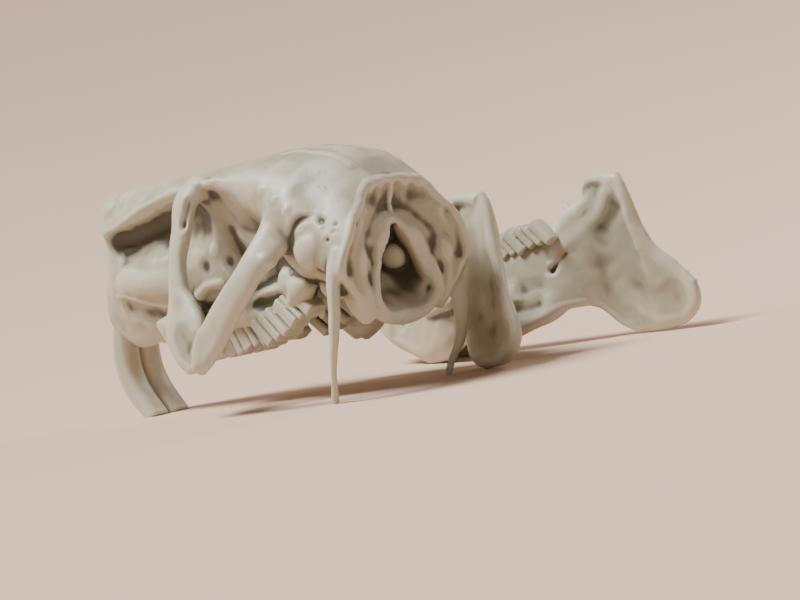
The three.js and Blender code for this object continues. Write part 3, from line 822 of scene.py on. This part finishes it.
def tooth_plates(line, shares, leans, widths, above, below, of_jaw=False):
    """Leaning plates along a line, each as thick as its share; leans and widths go rear to front."""
    samples = along_spline(line, 200)
    lengths = np.concatenate([[0], np.linalg.norm(np.diff(samples, axis=0), axis=1).cumsum()])
    edges = np.concatenate([[0], np.cumsum(shares)]) / sum(shares) * lengths[-1]
    plates = []
    for i, (start, end) in enumerate(zip(edges[:-1], edges[1:])):
        middle = (start + end) / 2
        place = np.array([np.interp(middle, lengths, samples[:, axis]) for axis in range(3)])
        ahead = np.array([np.interp(end, lengths, samples[:, axis]) for axis in range(3)])
        lean = math.radians(np.interp(middle, (0, lengths[-1]), leans))
        wider = PLATE_WIDER if i % 2 else -PLATE_WIDER
        width = np.interp(middle, (0, lengths[-1]), widths) + wider
        thickness = (end - start) * math.cos(lean) + PLATE_OVERLAP
        deep = below - PLATE_SHORTER * (i % 3)
        plates.append(tooth_plate(place, ahead - place, lean, width, above, deep, thickness, of_jaw))
    return plates


# Lines that the rows of plates follow, left side
REAR_LINE = [(61, 22.5, 55), (78, 21, 47), (100, 18.5, 38.5)]
FRONT_LINE = [(104, 11, 43), (118, 10, 41), (130, 9, 39), (152, 7.5, 39)]
LOWER_LINE = [(28, 29.5, 63), (48, 24, 60), (74, 17.5, 55), (101, 11.5, 52)]


def build_cheek_teeth(budget):
    for side, name in enumerate(("left", "right")):
        rear, front, low = (both_sides(line)[side] for line in (REAR_LINE, FRONT_LINE, LOWER_LINE))
        upper = tooth_plates(
            rear, REAR_PLATES, leans=(48, 44), widths=(12, 12.5), above=5.5, below=13,
        )
        upper += tooth_plates(
            front, FRONT_PLATES, leans=(34, 14), widths=(11, 10.5), above=10, below=12.5,
        )
        lower = tooth_plates(
            low, LOWER_PLATES, leans=(44, 28), widths=(12, 10), above=10.5, below=6, of_jaw=True,
        )
        for row, plates, of_jaw in (("upper", upper, False), ("lower", lower, True)):
            piece = fuse(f"{row}_cheek_teeth_{name}", plates, CHEEK_TOOTH_VOXEL)
            smooth(piece, 2, of_jaw)
            finish_piece(piece, tooth_material(), "tooth", budget)


def build_incisors(budget):
    for side, name in enumerate(("left", "right")):
        for path, row, of_jaw in ((UPPER_INCISOR, "upper", False), (LOWER_INCISOR, "lower", True)):
            rings = limb_rings(both_sides(path)[side], (0, 1, 0), *INCISOR_MESH, squareness=3.0)
            piece = fuse(f"{row}_incisor_tooth_{name}", [skin(rings, of_jaw)], INCISOR_VOXEL)
            smooth(piece, 4, of_jaw)
            keep_in_box(piece)
            finish_piece(piece, tooth_material(), "tooth", budget, f"{row}_incisor_{name}")


# Warmer patches of the bone, and its specks
AGED_COLOUR = (0.62, 0.53, 0.36, 1)
SPECK_COLOUR = (0.33, 0.27, 0.17, 1)
BUMP_HEIGHT = 0.0003


def grain_and_painted_light_group():
    """Shared shader group: cream tones, painted shade in the hollows, painted highlight on the crests, fine
    pits and a soft gloss.
    """
    name = "Bone grain and painted light"
    if name in bpy.data.node_groups:
        return bpy.data.node_groups[name]
    group = bpy.data.node_groups.new(name, "ShaderNodeTree")
    face = group.interface
    for socket, kind, default in (
        ("Body colour", "NodeSocketColor", (0.6, 0.55, 0.42, 1)),
        ("Painted shade colour", "NodeSocketColor", (0.2, 0.18, 0.12, 1)),
        ("Painted highlight colour", "NodeSocketColor", (0.75, 0.71, 0.6, 1)),
        ("Grain", "NodeSocketFloat", 0.5),
        ("Roughness", "NodeSocketFloat", 0.5),
    ):
        made = face.new_socket(name=socket, in_out="INPUT", socket_type=kind)
        made.default_value = default
    face.new_socket(name="Colour", in_out="OUTPUT", socket_type="NodeSocketColor")
    face.new_socket(name="Roughness", in_out="OUTPUT", socket_type="NodeSocketFloat")
    face.new_socket(name="Height", in_out="OUTPUT", socket_type="NodeSocketFloat")
    nodes, links = group.nodes, group.links
    given, result = nodes.new("NodeGroupInput"), nodes.new("NodeGroupOutput")
    place = nodes.new("ShaderNodeTexCoord")
    hollow = nodes.new("ShaderNodeAttribute")
    hollow.attribute_name = "hollow"

    def noise(scale, detail, roughness=0.55):
        node = nodes.new("ShaderNodeTexNoise")
        node.inputs["Scale"].default_value = scale
        node.inputs["Detail"].default_value = detail
        node.inputs["Roughness"].default_value = roughness
        links.new(place.outputs["Object"], node.inputs["Vector"])
        return node.outputs["Fac"]

    def ramp(source, low, high, start=0.0, end=1.0):
        node = nodes.new("ShaderNodeMapRange")
        node.interpolation_type = "SMOOTHSTEP"
        for socket, value in (("From Min", low), ("From Max", high), ("To Min", start), ("To Max", end)):
            node.inputs[socket].default_value = value
        links.new(source, node.inputs["Value"])
        return node.outputs["Result"]

    def feed(value, socket):
        if isinstance(value, bpy.types.NodeSocket):
            links.new(value, socket)
        else:
            socket.default_value = value

    def mix(factor, first, second):
        node = nodes.new("ShaderNodeMix")
        node.data_type = "RGBA"
        feed(factor, node.inputs["Factor"])
        feed(first, node.inputs["A"])
        feed(second, node.inputs["B"])
        return node.outputs["Result"]

    def maths(kind, first, second):
        node = nodes.new("ShaderNodeMath")
        node.operation = kind
        feed(first, node.inputs[0])
        feed(second, node.inputs[1])
        return node.outputs["Value"]

    # Scales are in waves per metre: clouds of about 70 mm, specks of 4 mm and grain of 1 mm
    clouds = noise(14, 4)
    specks = noise(260, 3)
    grain = noise(900, 4, 0.7)
    # Painted shade: a dark colour laid into the hollows, where shade falls
    deep = ramp(hollow.outputs["Fac"], 0.1, 0.8)
    # Painted highlight: a paler colour laid onto the crests, where light catches them
    crest = ramp(hollow.outputs["Fac"], -0.05, -0.6)
    toned = mix(ramp(clouds, 0.35, 0.7, 0, 0.35), given.outputs["Body colour"], AGED_COLOUR)
    highlighted = mix(crest, toned, given.outputs["Painted highlight colour"])
    dark = mix(deep, highlighted, given.outputs["Painted shade colour"])
    speckle = maths("MULTIPLY", ramp(specks, 0.6, 0.78), given.outputs["Grain"])
    spotted = mix(maths("MULTIPLY", speckle, 0.35), dark, SPECK_COLOUR)
    links.new(spotted, result.inputs["Colour"])
    varied = maths("MULTIPLY", maths("SUBTRACT", clouds, 0.5), 0.25)
    links.new(maths("ADD", given.outputs["Roughness"], varied), result.inputs["Roughness"])
    fine = maths("MULTIPLY", grain, given.outputs["Grain"])
    pits = maths("MULTIPLY", ramp(specks, 0.62, 0.72), -1.2)
    height = maths("ADD", maths("ADD", fine, pits), maths("MULTIPLY", clouds, 2.0))
    links.new(height, result.inputs["Height"])
    return group


def grained_material(name, body, hollow, crest, grain, roughness, bump):
    if name in bpy.data.materials:
        return bpy.data.materials[name]
    material = bpy.data.materials.new(name)
    material.use_nodes = True
    nodes, links = material.node_tree.nodes, material.node_tree.links
    shader = nodes["Principled BSDF"]
    group = nodes.new("ShaderNodeGroup")
    group.node_tree = grain_and_painted_light_group()
    group.inputs["Body colour"].default_value = (*body, 1)
    # The hollow colour is painted shade, laid into the hollows
    group.inputs["Painted shade colour"].default_value = (*hollow, 1)
    # The crest colour is a painted highlight, laid onto the crests
    group.inputs["Painted highlight colour"].default_value = (*crest, 1)
    group.inputs["Grain"].default_value = grain
    group.inputs["Roughness"].default_value = roughness
    links.new(group.outputs["Colour"], shader.inputs["Base Color"])
    links.new(group.outputs["Roughness"], shader.inputs["Roughness"])
    height = nodes.new("ShaderNodeBump")
    height.inputs["Strength"].default_value = bump
    height.inputs["Distance"].default_value = BUMP_HEIGHT
    links.new(group.outputs["Height"], height.inputs["Height"])
    links.new(height.outputs["Normal"], shader.inputs["Normal"])
    shader.inputs["Specular IOR Level"].default_value = 0.35
    return material


def bone_material():
    looks = bpy.context.scene.skull_looks
    return grained_material(
        "Cream bone", looks.bone_colour, looks.painted_shade_colour, looks.painted_highlight_colour,
        looks.grain, looks.roughness, 0.3,
    )


def tooth_material():
    looks = bpy.context.scene.skull_looks
    return grained_material(
        "Ivory tooth", looks.tooth_colour, looks.painted_shade_colour, looks.painted_highlight_colour,
        looks.grain * 0.6, looks.roughness - 0.1, 0.2,
    )


def build_floor():
    clear_selection()
    bpy.ops.mesh.primitive_grid_add(x_subdivisions=4, y_subdivisions=300, size=1)
    floor = bpy.context.object
    floor.name = "floor"
    flat = np.empty(len(floor.data.vertices) * 3)
    floor.data.vertices.foreach_get("co", flat)
    across, along, _ = flat.reshape(-1, 3).T
    run = (along + 0.5) * FLOOR_LENGTH - FLOOR_BEFORE
    turn = np.clip((run - BEND_AT) / BEND_RADIUS, 0, math.pi / 2)
    away = np.minimum(run, BEND_AT) + BEND_RADIUS * np.sin(turn)
    height = BEND_RADIUS * (1 - np.cos(turn)) + np.maximum(run - BEND_AT - BEND_RADIUS * math.pi / 2, 0)
    way = np.cross(CAMERA_UP, CAMERA_RIGHT)[:2]
    way /= np.hypot(*way)
    places = np.stack([
        way[0] * away - way[1] * across * FLOOR_WIDTH,
        way[1] * away + way[0] * across * FLOOR_WIDTH,
        height,
    ], 1)
    floor.data.vertices.foreach_set("co", places.ravel())
    floor.data.update()
    bpy.ops.object.shade_smooth()
    material = bpy.data.materials.new("Pale floor")
    material.use_nodes = True
    shader = material.node_tree.nodes["Principled BSDF"]
    shader.inputs["Base Color"].default_value = FLOOR_COLOUR
    shader.inputs["Roughness"].default_value = 0.9
    shader.inputs["Specular IOR Level"].default_value = 0.2
    floor.data.materials.append(material)


def build_world():
    world = bpy.data.worlds.new("Studio")
    world.use_nodes = True
    background = world.node_tree.nodes["Background"]
    background.inputs["Color"].default_value = WORLD_COLOUR
    rays = world.node_tree.nodes.new("ShaderNodeLightPath")
    strength = world.node_tree.nodes.new("ShaderNodeMapRange")
    strength.inputs["To Min"].default_value = WORLD_LIGHT
    strength.inputs["To Max"].default_value = WORLD_SEEN
    world.node_tree.links.new(rays.outputs["Is Camera Ray"], strength.inputs["Value"])
    world.node_tree.links.new(strength.outputs["Result"], background.inputs["Strength"])
    bpy.context.scene.world = world


def add_light(name, kind, place, power):
    bpy.ops.object.light_add(type=kind, location=place)
    light = bpy.context.object
    light.name = name
    light.data.energy = power
    light.rotation_mode = "QUATERNION"
    light.rotation_quaternion = (LIT_POINT - place).to_track_quat("-Z", "Y")
    return light


def build_lights():
    key = add_light("key_light", "SUN", KEY_AT, KEY_POWER)
    key.data.angle = KEY_ANGLE
    for name, place, size, power in SOFT_LIGHTS:
        light = add_light(name, "AREA", place, power)
        light.data.size = size


def build_camera():
    bpy.ops.object.camera_add(location=to_row(CAMERA_AT)[0])
    camera = bpy.context.object
    camera.data.sensor_width = SENSOR_WIDTH
    camera.data.lens = SENSOR_WIDTH * FOCAL_PIXELS / IMAGE_WIDTH
    right, up = Vector(CAMERA_RIGHT), Vector(CAMERA_UP)
    back = right.cross(up)
    camera.rotation_mode = "QUATERNION"
    camera.rotation_quaternion = Matrix((right, up, back)).transposed().to_quaternion()
    camera.data.clip_start = NEAREST_SEEN
    camera.data.clip_end = FARTHEST_SEEN
    bpy.context.scene.camera = camera


class SkullLooks(bpy.types.PropertyGroup):
    bone_colour: bpy.props.FloatVectorProperty(
        name="Bone", description="Colour of clean bone", subtype="COLOR", size=3,
        default=(0.35, 0.335, 0.25), min=0, max=1)
    # Painted shade: the dark colour laid into the hollows, where shade falls
    painted_shade_colour: bpy.props.FloatVectorProperty(
        name="Hollows", description="Colour deep in the hollows", subtype="COLOR", size=3,
        default=(0.075, 0.068, 0.045), min=0, max=1)
    # Painted highlight: the pale colour laid onto the crests
    painted_highlight_colour: bpy.props.FloatVectorProperty(
        name="Crests", description="Colour on worn crests", subtype="COLOR", size=3,
        default=(0.54, 0.515, 0.40), min=0, max=1)
    tooth_colour: bpy.props.FloatVectorProperty(
        name="Teeth", description="Colour of the teeth", subtype="COLOR", size=3,
        default=(0.40, 0.385, 0.295), min=0, max=1)
    grain: bpy.props.FloatProperty(
        name="Grain", description="How strongly the fine pits show", default=0.5, min=0, max=1)
    roughness: bpy.props.FloatProperty(
        name="Roughness", description="Dullness of the bone's surface", default=0.42, min=0, max=1)


class SkullSizes(bpy.types.PropertyGroup):
    voxel: bpy.props.FloatProperty(
        name="Voxel", description="Size of the cells that fuse the forms, in millimetres",
        default=1.0, min=0.5, max=4)
    cranium_triangles: bpy.props.IntProperty(
        name="Cranium triangles", description="Most triangles on the cranium", default=195000, min=1000)
    jaw_triangles: bpy.props.IntProperty(
        name="Jaw triangles", description="Most triangles on each half of the jaw", default=120000, min=1000)
    tooth_triangles: bpy.props.IntProperty(
        name="Tooth triangles", description="Most triangles on each tooth piece", default=60000, min=1000)


class SKULL_OT_cranium(bpy.types.Operator):
    """Model the cranium's bone"""
    bl_idname = "skull.cranium"
    bl_label = "Cranium"

    def execute(self, context):
        sizes = context.scene.skull_sizes
        build_cranium(sizes.voxel, sizes.cranium_triangles)
        return {"FINISHED"}


class SKULL_OT_jaw(bpy.types.Operator):
    """Model both halves of the lower jaw"""
    bl_idname = "skull.jaw"
    bl_label = "Lower jaw"

    def execute(self, context):
        sizes = context.scene.skull_sizes
        build_jaw(sizes.voxel, sizes.jaw_triangles)
        return {"FINISHED"}


class SKULL_OT_cheek_teeth(bpy.types.Operator):
    """Model the four rows of cheek teeth"""
    bl_idname = "skull.cheek_teeth"
    bl_label = "Cheek teeth"

    def execute(self, context):
        build_cheek_teeth(context.scene.skull_sizes.tooth_triangles)
        return {"FINISHED"}


class SKULL_OT_incisors(bpy.types.Operator):
    """Model the four front teeth"""
    bl_idname = "skull.incisors"
    bl_label = "Front teeth"

    def execute(self, context):
        build_incisors(context.scene.skull_sizes.tooth_triangles)
        return {"FINISHED"}


class SKULL_OT_stage(bpy.types.Operator):
    """Set up the floor, the lights and the camera"""
    bl_idname = "skull.stage"
    bl_label = "Stage"

    def execute(self, context):
        build_floor()
        build_world()
        build_lights()
        build_camera()
        return {"FINISHED"}


class SKULL_PT_panel(bpy.types.Panel):
    bl_label = "Skull"
    bl_idname = "SKULL_PT_panel"
    bl_space_type = "VIEW_3D"
    bl_region_type = "UI"
    bl_category = "Skull"

    def draw(self, context):
        layout = self.layout
        for group in (context.scene.skull_looks, context.scene.skull_sizes):
            for name in type(group).__annotations__:
                layout.prop(group, name)
        for operator in OPERATORS:
            layout.operator(operator.bl_idname)


OPERATORS = (SKULL_OT_stage, SKULL_OT_cranium, SKULL_OT_jaw, SKULL_OT_cheek_teeth, SKULL_OT_incisors)
CLASSES = (SkullLooks, SkullSizes, *OPERATORS, SKULL_PT_panel)


def register():
    for item in CLASSES:
        bpy.utils.register_class(item)
    bpy.types.Scene.skull_looks = bpy.props.PointerProperty(type=SkullLooks)
    bpy.types.Scene.skull_sizes = bpy.props.PointerProperty(type=SkullSizes)


def unregister():
    del bpy.types.Scene.skull_sizes
    del bpy.types.Scene.skull_looks
    for item in reversed(CLASSES):
        bpy.utils.unregister_class(item)


def main():
    register()
    for operator in OPERATORS:
        group, name = operator.bl_idname.split(".")
        getattr(getattr(bpy.ops, group), name)()


if __name__ == "__main__":
    main()
